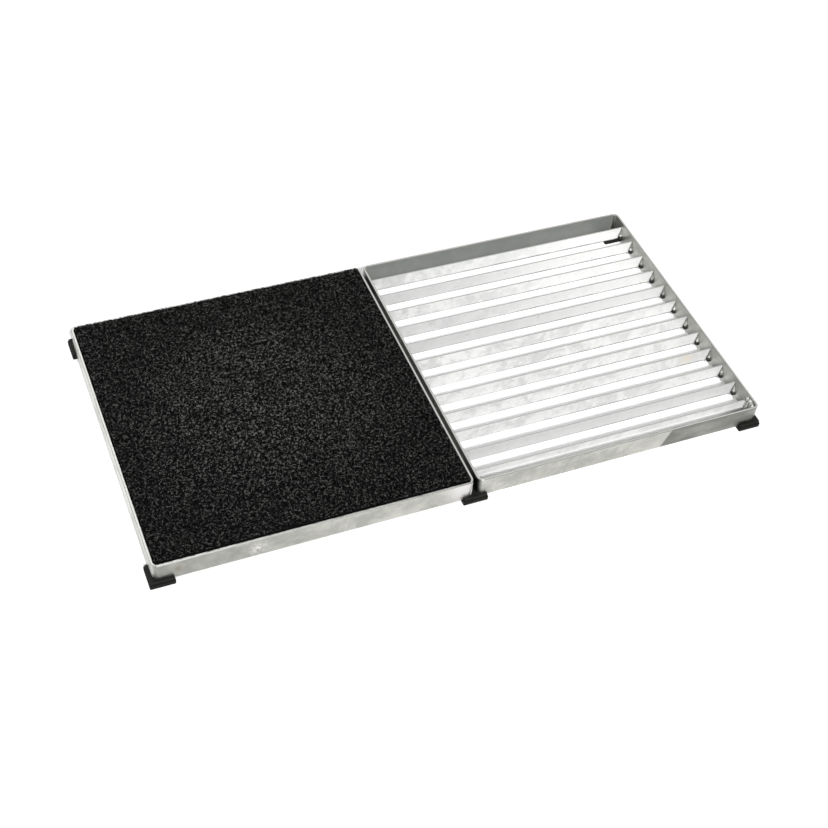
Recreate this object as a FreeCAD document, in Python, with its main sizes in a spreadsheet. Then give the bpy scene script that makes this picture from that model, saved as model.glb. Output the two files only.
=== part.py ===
# Entrance mat grate: two welded steel grates side by side on rubber feet, one of them with a coil mat.
# X runs along the long side, Y from the front edge to the back edge, Z up from the undersides of the feet.
import FreeCAD, Part
import math
import os

import Sketcher

# Driving sizes in millimetres: alias, value, meaning.
SIZES = [
    ("bay_width", 393.0, "outer width of one frame along X"),
    ("bay_depth", 400.0, "outer depth of one frame along Y"),
    ("bay_gap", 4.5, "space between the two frames"),
    ("bar_height", 28.0, "height of the frame's flat bar"),
    ("bar_thickness", 3.0, "thickness of the frame's flat bar"),
    ("bar_edge_bevel", 0.4, "bevel along the frame bar's long edges"),
    ("bend_radius", 5.0, "inside radius of the frame's bent corners"),
    ("slat_height", 20.0, "height of a slat, standing on edge"),
    ("slat_thickness", 2.0, "thickness of a slat"),
    ("slat_edge_radius", 0.4, "rounding along a slat's long edges"),
    ("slat_end_gap", 19.0, "clear space between the front or back bar and the slat next to it"),
    ("mat_thickness", 12.0, "thickness of the coil mat"),
    ("mat_clearance", 1.0, "space between the mat and the frame round it"),
    ("tuft_relief", 2.0, "depth of the dips between the mat's tufts of loops"),
    ("tuft_top", 10.0, "width of the level top of a tuft"),
    ("foot_base", 5.0, "thickness of rubber under the frame"),
    ("foot_rim", 4.6, "height of a foot's rim above the frame's lower edge"),
    ("foot_plug", 1.5, "height of a foot's plugs above the frame's lower edge"),
    ("foot_wrap", 5.0, "how far a foot stands out past the frame"),
    ("foot_reach", 25.4, "how far a foot runs in under the frame from its outer face"),
    ("foot_join_width", 32.4, "width along X of the feet that join the two frames"),
    ("foot_step", 1.0, "how far a foot's rim is set back from the edge of its base"),
    ("foot_corner_radius", 1.5, "rounding of the upright edges of a foot and its plugs"),
    ("foot_edge_bevel", 0.8, "bevel round the top of a foot's rim"),
    ("foot_fit", 0.15, "clearance between the rubber and the steel beside it"),
]

SLATS_PER_BAY = 12
TUFTS_PER_SIDE = 15
BAYS = (("left", -1), ("right", 1))
CORNERS = (("front_left", 0), ("front_right", 90), ("back_right", 180), ("back_left", 270))
JOINS = (("front", 0), ("back", 180))

OUTER_RADIUS = "(Sizes.bend_radius + Sizes.bar_thickness)"
INNER_WIDTH = "(Sizes.bay_width - 2 * Sizes.bar_thickness)"
INNER_DEPTH = "(Sizes.bay_depth - 2 * Sizes.bar_thickness)"
BAY_CENTRE = "((Sizes.bay_width + Sizes.bay_gap) / 2)"
SLAT_ROW = "(" + INNER_DEPTH + " - 2 * Sizes.slat_end_gap - Sizes.slat_thickness)"
SLAT_PITCH = "(" + SLAT_ROW + " / %d)" % (SLATS_PER_BAY - 1)
MAT_WIDTH = "(" + INNER_WIDTH + " - 2 * Sizes.mat_clearance)"
MAT_DEPTH = "(" + INNER_DEPTH + " - 2 * Sizes.mat_clearance)"
FOOT_TOP = "(Sizes.foot_base + Sizes.foot_rim)"
PLUG_START = "(Sizes.bar_thickness + Sizes.foot_fit)"
PLUG_END = "min(Sizes.foot_reach; Sizes.bar_thickness + Sizes.slat_end_gap - Sizes.foot_fit)"
SEAT_END = "(2 * (Sizes.foot_reach + Sizes.foot_join_width + " + OUTER_RADIUS + "))"

doc = FreeCAD.newDocument("EntranceMatGrate")


def make_sheet():
    """Put the driving sizes in a spreadsheet, one row each."""
    sheet = doc.addObject("Spreadsheet::Sheet", "Sizes")
    for row, (alias, value, meaning) in enumerate(SIZES, start=1):
        sheet.set("A%d" % row, alias)
        sheet.set("B%d" % row, str(value))
        sheet.set("C%d" % row, meaning)
        sheet.setAlias("B%d" % row, alias)
    doc.recompute()


def new_body(label, x="0", y="0", z="0"):
    """Start a sub-part whose place follows three expressions."""
    body = doc.addObject("PartDesign::Body", label)
    body.Label = label
    body.setExpression("Placement.Base.x", x)
    body.setExpression("Placement.Base.y", y)
    body.setExpression("Placement.Base.z", z)
    return body


def origin_feature(body, role):
    """One of the body's own origin planes or axes."""
    return [feature for feature in body.Origin.OriginFeatures if feature.Role == role][0]


def new_sketch(body, name, role, height="0"):
    """Lay a sketch on one of the body's own origin planes, raised by an expression."""
    sketch = body.newObject("Sketcher::SketchObject", name)
    sketch.AttachmentSupport = (origin_feature(body, role), [""])
    sketch.MapMode = "FlatFace"
    sketch.setExpression("AttachmentOffset.Base.z", height)
    return sketch


def number(sketch, expression):
    """The value of an expression in millimetres."""
    value = sketch.evalExpression(expression)
    return float(getattr(value, "Value", value))


def rounded_rectangle(sketch, name, left, right, bottom, top, radius):
    """Draw a rectangle with round corners whose sides and radius follow expressions."""
    x0, x1, y0, y1, r = (number(sketch, side) for side in (left, right, bottom, top, radius))
    up = FreeCAD.Vector(0, 0, 1)
    corners = [(x1 - r, y0 + r), (x1 - r, y1 - r), (x0 + r, y1 - r), (x0 + r, y0 + r)]
    starts = [(x0 + r, y0), (x1, y0 + r), (x1 - r, y1), (x0, y1 - r)]
    ends = [(x1 - r, y0), (x1, y1 - r), (x0 + r, y1), (x0, y0 + r)]
    lines = []
    arcs = []
    for quarter in range(4):
        start = FreeCAD.Vector(*starts[quarter], 0)
        end = FreeCAD.Vector(*ends[quarter], 0)
        circle = Part.Circle(FreeCAD.Vector(*corners[quarter], 0), up, r)
        turn = (quarter - 1) * math.pi / 2
        lines.append(sketch.addGeometry(Part.LineSegment(start, end), False))
        arcs.append(sketch.addGeometry(Part.ArcOfCircle(circle, turn, turn + math.pi / 2), False))
    for quarter in range(4):
        following = lines[(quarter + 1) % 4]
        sketch.addConstraint(Sketcher.Constraint("Tangent", lines[quarter], 2, arcs[quarter], 1))
        sketch.addConstraint(Sketcher.Constraint("Tangent", arcs[quarter], 2, following, 1))
        sketch.addConstraint(Sketcher.Constraint(("Horizontal", "Vertical")[quarter % 2], lines[quarter]))
    for arc in arcs[1:]:
        sketch.addConstraint(Sketcher.Constraint("Equal", arcs[0], arc))
    drive(sketch, name + "_left", Sketcher.Constraint("DistanceX", -1, 1, lines[3], 1, x0), left)
    drive(sketch, name + "_right", Sketcher.Constraint("DistanceX", -1, 1, lines[1], 1, x1), right)
    drive(sketch, name + "_bottom", Sketcher.Constraint("DistanceY", -1, 1, lines[0], 1, y0), bottom)
    drive(sketch, name + "_top", Sketcher.Constraint("DistanceY", -1, 1, lines[2], 1, y1), top)
    drive(sketch, name + "_radius", Sketcher.Constraint("Radius", arcs[0], r), radius)


def drive(sketch, name, constraint, expression):
    """Add a dimension to a sketch and tie it to an expression."""
    index = sketch.addConstraint(constraint)
    sketch.renameConstraint(index, name)
    sketch.setExpression("Constraints." + name, expression)


def centred_rectangle(sketch, name, width, depth, radius):
    """Draw a rounded rectangle centred on the sketch's origin."""
    half_width = width + " / 2"
    half_depth = depth + " / 2"
    rounded_rectangle(sketch, name, "-" + half_width, half_width, "-" + half_depth, half_depth, radius)


def polygon(sketch, corners):
    """Draw a closed polygon; each corner is a name and two expressions."""
    points = [FreeCAD.Vector(number(sketch, x), number(sketch, y), 0) for name, x, y in corners]
    lines = []
    for start, end in zip(points, points[1:] + points[:1]):
        lines.append(sketch.addGeometry(Part.LineSegment(start, end), False))
    for line, following in zip(lines, lines[1:] + lines[:1]):
        sketch.addConstraint(Sketcher.Constraint("Coincident", line, 2, following, 1))
    for line, point, (name, x, y) in zip(lines, points, corners):
        drive(sketch, name + "_x", Sketcher.Constraint("DistanceX", -1, 1, line, 1, point.x), x)
        drive(sketch, name + "_y", Sketcher.Constraint("DistanceY", -1, 1, line, 1, point.y), y)


def extrude(body, kind, sketch, length):
    """Add a Pad or a Pocket of a sketch and make it the body's result."""
    feature = body.newObject("PartDesign::" + kind, kind + "_" + sketch.Name)
    feature.Profile = sketch
    feature.setExpression("Length", length)
    body.Tip = feature
    doc.recompute()
    return feature


def bevel_edges(body, base, names, size):
    """Bevel the named edges of the body's last feature."""
    bevel = body.newObject("PartDesign::Chamfer", "Bevel_" + base.Name)
    bevel.Base = (base, names)
    bevel.setExpression("Size", size)
    body.Tip = bevel
    doc.recompute()


def make_frame(side, sign):
    """Bend one flat bar on edge into a closed frame with round corners."""
    body = new_body("frame_" + side, "%d * %s" % (sign, BAY_CENTRE), "0", "Sizes.foot_base")
    sketch = new_sketch(body, "ring_" + side, "XY_Plane")
    centred_rectangle(sketch, "outside", "Sizes.bay_width", "Sizes.bay_depth", OUTER_RADIUS)
    centred_rectangle(sketch, "inside", INNER_WIDTH, INNER_DEPTH, "Sizes.bend_radius")
    bar = extrude(body, "Pad", sketch, "Sizes.bar_height")
    level = [
        "Edge%d" % index
        for index, edge in enumerate(bar.Shape.Edges, start=1)
        if edge.BoundBox.ZLength < edge.Length / 2
    ]
    bevel_edges(body, bar, level, "Sizes.bar_edge_bevel")
    return body


def make_slat(side, sign, place):
    """Stand one flat bar on edge between a frame's side bars, numbered from the front."""
    label = "slat_%s_%02d" % (side, place + 1)
    left_end = "%d * %s - %s / 2" % (sign, BAY_CENTRE, INNER_WIDTH)
    middle = "%d * %s - %s / 2" % (place, SLAT_PITCH, SLAT_ROW)
    body = new_body(label, left_end, middle, "Sizes.foot_base + Sizes.slat_height / 2")
    sketch = new_sketch(body, "section_" + label, "YZ_Plane")
    centred_rectangle(sketch, "bar", "Sizes.slat_thickness", "Sizes.slat_height", "Sizes.slat_edge_radius")
    extrude(body, "Pad", sketch, INNER_WIDTH)
    return body


def make_mat():
    """Lay the coil mat on the left bay's slats, inside the frame, its loops in low tufts."""
    body = new_body("coil_mat", "-" + BAY_CENTRE, "0", "Sizes.foot_base + Sizes.slat_height")
    sketch = new_sketch(body, "mat_outline", "XY_Plane")
    centred_rectangle(sketch, "mat", MAT_WIDTH, MAT_DEPTH, "Sizes.bend_radius")
    extrude(body, "Pad", sketch, "Sizes.mat_thickness")
    cut_dips(body, "XZ_Plane", "X_Axis", MAT_WIDTH, MAT_DEPTH)
    cut_dips(body, "YZ_Plane", "Y_Axis", MAT_DEPTH, MAT_WIDTH)
    return body


def cut_dips(body, plane, axis, row, length):
    """Cut the dips between the mat's tufts along one axis: one V groove, repeated."""
    pitch = "(%s / %d)" % (row, TUFTS_PER_SIDE)
    dips = TUFTS_PER_SIDE - 1
    half_width = "((%s - Sizes.tuft_top) / 2)" % pitch
    first = "(%s - %s / 2)" % (pitch, row)
    floor = "(Sizes.mat_thickness - Sizes.tuft_relief)"
    sketch = new_sketch(body, "dip_" + axis, plane, length + " / 2")
    corners = [
        ("left", first + " - " + half_width, "Sizes.mat_thickness"),
        ("bottom", first, floor),
        ("right", first + " + " + half_width, "Sizes.mat_thickness"),
    ]
    polygon(sketch, corners)
    dip = extrude(body, "Pocket", sketch, length)
    pattern = body.newObject("PartDesign::LinearPattern", "Dips_" + axis)
    pattern.Originals = [dip]
    pattern.Direction = (origin_feature(body, axis), [""])
    pattern.setExpression("Length", "%d * %s" % (dips - 1, pitch))
    pattern.Occurrences = dips
    body.Tip = pattern
    doc.recompute()


def make_foot(label, x, y, turn, outline, seats, plugs):
    """Mould a foot: a base under the frame, a rim outside it and plugs inside it.

    outline is left, right, front and back in the foot's own frame; seats and plugs are lists of such sides.
    """
    body = new_body(label, x, y)
    body.Placement.Rotation = FreeCAD.Rotation(FreeCAD.Vector(0, 0, 1), turn)
    left, right, front, back = outline
    base = new_sketch(body, "base_" + label, "XY_Plane")
    rounded_rectangle(base, "base", left, right, front, back, "Sizes.foot_corner_radius")
    extrude(body, "Pad", base, "Sizes.foot_base")
    rim = new_sketch(body, "rim_" + label, "XY_Plane", "Sizes.foot_base")
    inset = [side + sign + "Sizes.foot_step" for side, sign in zip(outline, (" + ", " - ", " + ", " - "))]
    rounded_rectangle(rim, "rim", *inset, "Sizes.foot_corner_radius")
    wall = extrude(body, "Pad", rim, "Sizes.foot_rim")
    top = [
        "Edge%d" % index
        for index, edge in enumerate(wall.Shape.Edges, start=1)
        if edge.BoundBox.ZMin > number(rim, FOOT_TOP + " - Sizes.foot_edge_bevel")
    ]
    bevel_edges(body, wall, top, "Sizes.foot_edge_bevel")
    seat = new_sketch(body, "seat_" + label, "XY_Plane", FOOT_TOP)
    for place, sides in enumerate(seats):
        rounded_rectangle(seat, "seat%d" % place, *sides, OUTER_RADIUS + " + Sizes.foot_fit")
    extrude(body, "Pocket", seat, "Sizes.foot_rim")
    plug = new_sketch(body, "plug_" + label, "XY_Plane", "Sizes.foot_base")
    for place, sides in enumerate(plugs):
        rounded_rectangle(plug, "plug%d" % place, *sides, "Sizes.foot_corner_radius")
    extrude(body, "Pad", plug, "Sizes.foot_plug")
    return body


def make_corner_foot(corner, turn):
    """Mould a foot whose rim wraps a frame's outer corner and whose plug fits inside it."""
    end, side = corner.split("_")
    x = "%d * (Sizes.bay_width + Sizes.bay_gap / 2)" % (-1 if side == "left" else 1)
    y = "%d * Sizes.bay_depth / 2" % (-1 if end == "front" else 1)
    outline = ("-Sizes.foot_wrap", "Sizes.foot_reach", "-Sizes.foot_wrap", "Sizes.foot_reach")
    seat = ("-Sizes.foot_fit", SEAT_END, "-Sizes.foot_fit", SEAT_END)
    plug = (PLUG_START, PLUG_END, PLUG_START, PLUG_END)
    return make_foot("foot_" + corner, x, y, turn, outline, [seat], [plug])


def make_join_foot(end, turn):
    """Mould a foot that holds the two frames together, with a web in the gap between them."""
    y = "%d * Sizes.bay_depth / 2" % (-1 if end == "front" else 1)
    half = "Sizes.foot_join_width / 2"
    near = "(Sizes.bay_gap / 2 - Sizes.foot_fit)"
    inner = "(Sizes.bay_gap / 2 + " + PLUG_START + ")"
    outline = ("-" + half, half, "-Sizes.foot_wrap", "Sizes.foot_reach")
    seats = [
        (near, SEAT_END, "-Sizes.foot_fit", SEAT_END),
        ("-" + SEAT_END, "-" + near, "-Sizes.foot_fit", SEAT_END),
    ]
    plugs = [(inner, half, PLUG_START, PLUG_END), ("-" + half, "-" + inner, PLUG_START, PLUG_END)]
    return make_foot("foot_join_" + end, "0", y, turn, outline, seats, plugs)


def write_parts(bodies):
    """Stop if anything failed to build, then write each sub-part to its own file."""
    doc.recompute()
    for item in doc.Objects:
        if "Invalid" in item.State or "Error" in item.State:
            raise RuntimeError("%s failed: %s" % (item.Label, item.State))
    for body in bodies:
        if body.Shape.isNull() or not body.Shape.isValid() or len(body.Shape.Solids) != 1:
            raise RuntimeError("%s is not one sound solid" % body.Label)
    os.makedirs("parts", exist_ok=True)
    for body in bodies:
        body.Shape.exportStep("parts/%s.step" % body.Label)
        print("%-18s %10.1f mm3" % (body.Label, body.Shape.Volume))


make_sheet()
pieces = [make_frame(side, sign) for side, sign in BAYS]
pieces += [make_slat(side, sign, place) for side, sign in BAYS for place in range(SLATS_PER_BAY)]
pieces.append(make_mat())
pieces += [make_corner_foot(corner, turn) for corner, turn in CORNERS]
pieces += [make_join_foot(end, turn) for end, turn in JOINS]
write_parts(pieces)
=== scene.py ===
import math

import bmesh
import bpy
from bpy.props import FloatProperty, FloatVectorProperty, IntProperty, PointerProperty
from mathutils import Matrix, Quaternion, Vector, noise


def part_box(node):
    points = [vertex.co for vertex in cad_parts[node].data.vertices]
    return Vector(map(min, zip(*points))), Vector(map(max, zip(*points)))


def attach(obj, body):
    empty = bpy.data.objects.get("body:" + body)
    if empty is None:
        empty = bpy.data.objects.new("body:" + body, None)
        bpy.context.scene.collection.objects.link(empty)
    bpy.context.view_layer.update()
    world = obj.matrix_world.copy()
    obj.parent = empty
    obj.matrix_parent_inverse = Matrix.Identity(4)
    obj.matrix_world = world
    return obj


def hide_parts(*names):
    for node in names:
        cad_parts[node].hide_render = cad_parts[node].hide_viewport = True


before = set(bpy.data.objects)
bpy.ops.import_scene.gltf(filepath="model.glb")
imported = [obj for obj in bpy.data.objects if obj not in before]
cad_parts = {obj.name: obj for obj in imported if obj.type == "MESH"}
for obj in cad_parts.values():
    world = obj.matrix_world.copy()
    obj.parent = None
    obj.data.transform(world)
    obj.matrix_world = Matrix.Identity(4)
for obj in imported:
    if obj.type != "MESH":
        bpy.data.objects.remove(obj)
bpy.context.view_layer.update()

bl_info = {
    "name": "Entrance Mat Grate",
    "version": (1, 0, 0),
    "blender": (4, 5, 0),
    "location": "3D View > Sidebar > Mat Grate",
    "description": "Finishes the steel, rubber and coil mat of an entrance mat grate and sets its stage",
    "category": "Object",
}

BODY = "root"
SIDES = ("left", "right")
FULL_TURN = 2 * math.pi
WHITE = (1.0, 1.0, 1.0, 1.0)

# Thickness of a frame's bar: a slat's end meets the inner face of the side bar
FRAME_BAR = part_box("frame_right")[1].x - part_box("slat_right_01")[1].x

# Depth of an outer face's marks, and how near and how square to its plane a face has to lie
SKIN = 0.001
FACE_NEAR = 0.0008
FACE_SLACK = 0.05

# How far bevels, level edges and the slats' tops face upwards
BEVEL_TURN = (0.35, 0.6)
LEVEL_TURN = (0.85, 0.97)
TOP_SHADE_TURN = (0.2, 0.6)

# Width of the zinc's rolling lines and of its finest grain
ROLLING_LINE = 0.0016
ZINC_GRAIN = 0.0022

# Levels between which most of a noise lies
NOISE_SPAN = (0.3, 0.7)

# Stretch of rolling lines, streaks in the painted dark reflection, specks and weld lumps along each axis
LINE_STRETCH = (0.08, 0.08, 1.0)
DARK_STREAK_STRETCH = (0.35, 1.0, 1.0)
SPECK_STRETCH = (0.4, 0.4, 1.0)
LUMP_STRETCH = (0.6, 0.6, 1.0)

# Painted shade in the gap between the frames: depth where it is full, its fade to the left and right, and
# from the front to the back
GAP_SHADE_DEPTH = 0.0004
GAP_SHADE_LEFT = 0.0014
GAP_SHADE_RIGHT = 0.006
GAP_SHADE_BACK = (0.01, 0.07)

# Slats: where the painted light towards the back right sets in along X and Y, where the painted light on the
# first slat's lower part ends, and where the painted shade line along the lower edges sets in
PAINTED_LIGHT_ALONG = (0.02, 0.42)
PAINTED_LIGHT_BACK = (-0.05, 0.17)
FIRST_SLAT_LIGHT_TOP = (0.013, 0.018)
SHADE_LINE_ALONG = (0.05, 0.25)

# Welds: sides of a bead, its bends in a metre, and its points on a slat and in a seam
BEAD_SIDES = 8
BENDS_PER_METRE = 190
WELD_POINTS = 29
SEAM_POINTS = 41

# Margin below a slat's weld as a share of its radius, and how many of them its height leaves free
FOOT_MARGIN = 0.4
END_MARGINS = 1.5

# Seams that close the frames: side, feet from the front right corner, how much lower than the bar, lumps
SEAMS = (
    ("left", ((-0.0040, 0.0034, 0.001),), 0.0018, 0.0008),
    ("right", (
        (-0.0062, 0.0062, 0.002), (-0.0054, 0.0110, 0.002), (-0.0052, 0.0160, 0.002), (-0.0052, 0.0205, 0.002)
    ), 0.0035, 0.0036),
)

# Coil mat: sweep of a loop in degrees, its bends in a metre, its least and greatest size, a filament's sides
LOOP_SWEEP = 170
KINKS_PER_METRE = 220
LOOP_SIZES = (0.7, 1.3)
FILAMENT_SIDES = 3

# Numbers added to the mat's seed for the loops' places, turns and sizes
PLACE_DRAW = 11
TURN_DRAW = 23
SIZE_DRAW = 31

# Reach of the trodden middle, as a share of the mat's width
TRODDEN_REACH = 0.6


def colour(name, thing, default):
    """The colour of a thing."""
    return FloatVectorProperty(
        name=name, description="Colour of " + thing, default=default, subtype="COLOR", size=3,
        min=0.0, max=1.0
    )


def length(name, description, default):
    """A size setting in metres."""
    return FloatProperty(
        name=name, description=description, default=default, unit="LENGTH", precision=5, min=0.0
    )


def share(name, description, default):
    """A setting from nought to one."""
    return FloatProperty(
        name=name, description=description, default=default, subtype="FACTOR", min=0.0, max=1.0
    )


def place(name, description, default):
    """A place in metres."""
    return FloatVectorProperty(
        name=name, description=description, default=default, subtype="TRANSLATION", size=3, precision=5
    )


class FrameSteelSettings(bpy.types.PropertyGroup):
    """Finish of the bent flat bars: smooth zinc with a cloudy grey bloom."""

    light: colour("Light zinc", "the clean zinc", (0.56, 0.56, 0.523))
    dark: colour("Dark zinc", "the cloudy patches", (0.40, 0.40, 0.374))
    # Level upper faces get one painted light tone, and the bevels beside them painted shade, both chosen by
    # facing up
    edge: colour("Edge", "the level upper edges", (0.51, 0.51, 0.49))
    bevel: colour("Bevel", "the bevels beside them", (0.16, 0.16, 0.15))
    # Dull end: a painted dark reflection with a slanted border and streaks on the right end of the right
    # frame's front bar; the same colour is painted shade on the left frame's front left end
    dull: colour("Dull end", "the dull end of the right frame's front bar", (0.195, 0.195, 0.18))
    dull_start: length("Dull start", "Where it starts along X, at floor level", 0.2505)
    dull_slant: share("Dull slant", "How far its border leans for each metre up", 0.456)
    dull_border: length("Dull border", "Width over which the dull end sets in", 0.003)
    dark_streak: length("Smear", "Height of a smear in the dull end", 0.02)
    # Painted shade: the left end of the left frame's front bar darkens towards the corner
    left_shade: share("Left end", "How dull the front bar's left end is", 0.42)
    left_reach: length("Left reach", "How far along the bar this reaches", 0.3)
    # Painted sheen: the left outer face is blended towards the ground corner's pale zinc
    left_face: share("Left face", "How bright the left outer face is", 0.2)
    shaded: colour("Back bar", "the inner face of the back bars", (0.172, 0.184, 0.175))
    back_shade: share("Back shade", "How dark the inner face of the back bars is", 0.82)
    right_shade: share("Right shade", "How dark the inner face of the right bar is", 0.35)
    inside: colour("Front bar inside", "the inner face of the front bars", (0.78, 0.78, 0.77))
    matt: share("Matt", "How much less metallic the front and back bars are inside", 0.85)
    # Painted shade on the bars that face each other across the gap between the frames
    gap_shade: colour("Grime", "the grime in the gap between the frames", (0.03, 0.03, 0.028))
    # Pale zinc of the corner ground after welding; the splash uses it too, and the left outer face takes it
    # as a painted sheen
    ground: colour("Ground corner", "the corner that was ground after welding", (0.78, 0.76, 0.76))
    ground_place: place("Ground place", "Its place from the upper front right corner", (-0.012, 0.0, -0.006))
    ground_reach: length("Ground reach", "Radius of the ground patch", 0.034)
    splash: place("Splash", "Place of the splash from the lower front left corner", (0.124, 0.0, 0.012))
    splash_reach: length("Splash reach", "Radius of the splash", 0.018)
    streak: length("Streak", "Width of a streak in the splash", 0.006)
    rust: colour("Rust", "the rust spot on the left frame's front bar", (0.29, 0.27, 0.222))
    rust_place: place("Rust place", "Its place from the lower front left corner", (0.0293, 0.0, 0.015))
    rust_reach: length("Rust reach", "Radius of the rust spot", 0.008)
    spangle: length("Spangle size", "Width of a zinc crystal", 0.009)
    cloud: length("Cloud size", "Width of a cloudy patch", 0.045)
    roughness: share("Roughness", "Blur of its reflections", 0.36)
    metallic: share("Metallic", "How far it acts as bare metal", 1.0)


class SlatSteelSettings(bpy.types.PropertyGroup):
    """Finish of the slats: bright matt zinc."""

    light: colour("Light zinc", "the clean zinc", (0.86, 0.86, 0.85))
    dark: colour("Dark zinc", "the cloudy patches", (0.60, 0.605, 0.60))
    # A painted shade line along the slats' lower edges, fainter towards the left; the same colour marks the
    # dark specks
    edge: colour("Edge", "the line along the lower edges", (0.21, 0.21, 0.20))
    shade_line: length("Edge line", "Height of that line", 0.0024)
    # Painted shade on the slats' upward-facing tops
    top: colour("Top", "the sheared upper edges", (0.40, 0.40, 0.39))
    # Painted light: paler zinc towards the back right, and on the first slat's lower part against the front
    # bar's shadow
    pale: colour("Pale end", "the cleaner zinc towards the back right corner", (0.96, 0.96, 0.95))
    rust: colour("Rust blush", "the faint rust on the fourth slat's right end", (0.74, 0.66, 0.57))
    rust_place: place("Rust place", "Its place from the upper front right corner", (-0.035, 0.0, -0.006))
    rust_reach: length("Rust reach", "Radius of the rust", 0.018)
    rust_grain: length("Rust grain", "Width of a grain of the rust", 0.004)
    speck: length("Speck", "Height of a dark speck", 0.0028)
    line_wave: length("Line wave", "Width of a wave of the lower line", 0.02)
    uneven: share("Uneven", "How far the slats differ in tone", 0.9)
    seed: IntProperty(name="Seed", description="Start of the slats' random tones", default=1544)
    spangle: length("Spangle size", "Width of a zinc crystal", 0.006)
    cloud: length("Cloud size", "Width of a cloudy patch", 0.03)
    roughness: share("Roughness", "Blur of its reflections", 0.5)
    metallic: share("Metallic", "How far it acts as bare metal", 0.15)


class RubberSettings(bpy.types.PropertyGroup):
    """Finish of the moulded feet."""

    rubber: colour("Rubber", "the clean rubber", (0.0085, 0.0085, 0.0078))
    bloom: colour("Bloom", "the pale bloom on it", (0.019, 0.019, 0.0165))
    grain: length("Grain", "Width of a grain of its surface", 0.0009)
    patch: length("Patch", "Width of a patch of bloom", 0.011)
    roughness: share("Roughness", "How dull it is", 0.6)


class WeldSettings(bpy.types.PropertyGroup):
    """Sizes and colours of the welds."""

    metal: colour("Weld metal", "a slat weld's ripples", (0.66, 0.66, 0.64))
    scale: colour("Scale", "the scale between them", (0.19, 0.19, 0.18))
    seam_metal: colour("Seam metal", "the seams' ripples, which were brushed", (0.62, 0.62, 0.60))
    seam_scale: colour("Seam scale", "the scale between them", (0.40, 0.40, 0.375))
    # Painted shade: each slat weld's lower end is painted near black up to a height
    low_shade: colour("Soot", "a slat weld's lower end", (0.012, 0.012, 0.011))
    low_shade_height: length("Soot height", "Height of the sooty lower end", 0.009)
    low_shade_fade: length("Soot fade", "Height over which the soot fades out", 0.0025)
    lump: length("Lump", "Width of a lump in the weld metal", 0.0024)
    lumps: length("Lumps", "How far a slat weld strays from its line", 0.0016)
    foot_radius: length("Foot radius", "Radius of a slat weld at its lower end", 0.0034)
    foot_across: length("Foot across", "Distance of its lower end from the side bar", 0.0008)
    foot_ahead: length("Foot ahead", "Distance of its lower end from the slat's face", 0.0034)
    head: share("Head", "Size of a slat weld's upper end beside its lower end", 0.2)
    shade: length("Shade", "Width of a weld's dark side next to the slat", 0.0034)
    seam_radius: length("Seam radius", "Radius of the seam that closes a frame", 0.0026)
    seam_head: share("Seam head", "Size of a seam's upper end beside its lower end", 0.95)
    ripple: length("Ripple", "Distance between the ripples of a bead", 0.0021)


class CoilMatSettings(bpy.types.PropertyGroup):
    """Sizes and colours of the looped filament mat."""

    filament: colour("Filament", "the filament deep in the mat", (0.004, 0.004, 0.004))
    # Paler filament on the loop tops: partly wear and dust, partly painted light by height in the pile
    worn_and_lit: colour("Worn filament", "the filament on top, pale from wear and dust", (0.165, 0.165, 0.158))
    gloom: colour("Gloom", "the tangle below the loops", (0.002, 0.002, 0.002))
    streak: length("Streak", "Length of a worn place on a filament", 0.003)
    patch: length("Patch", "Width of a patch that is worn alike", 0.03)
    grain: length("Grain", "Width of a grain of the filament's surface", 0.0007)
    base_grain: length("Base grain", "Width of a grain of the matted base", 0.0015)
    filament_radius: length("Filament radius", "Radius of one filament", 0.00046)
    loop_radius: length("Loop radius", "Usual radius of a loop", 0.0034)
    spacing: length("Spacing", "Distance between loops before they are scattered", 0.0024)
    kink: length("Kink", "How far a loop is bent out of its round shape", 0.004)
    pile: length("Pile", "Depth of the loose loops above the matted base", 0.0036)
    edge_rise: length("Edge rise", "How much higher the base is along the mat's cut edge", 0.0024)
    edge_width: length("Edge width", "Width of that higher strip", 0.005)
    lean: FloatProperty(
        name="Lean", description="How far the loops lean at most", default=math.radians(60), subtype="ANGLE"
    )
    tufts: IntProperty(name="Tufts", description="Tufts along each side of the mat", default=15, min=1)
    tuft_top: length("Tuft top", "Width of a tuft's level top", 0.010)
    tuft_relief: length("Tuft relief", "Depth of the dips between tufts", 0.0016)
    points_per_loop: IntProperty(name="Points per loop", description="Smoothness of a loop", default=5, min=3)
    strips: IntProperty(name="Strips", description="Pieces that the loops are made in", default=5, min=1)
    seed: IntProperty(name="Seed", description="Start of the random draws", default=7)


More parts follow.
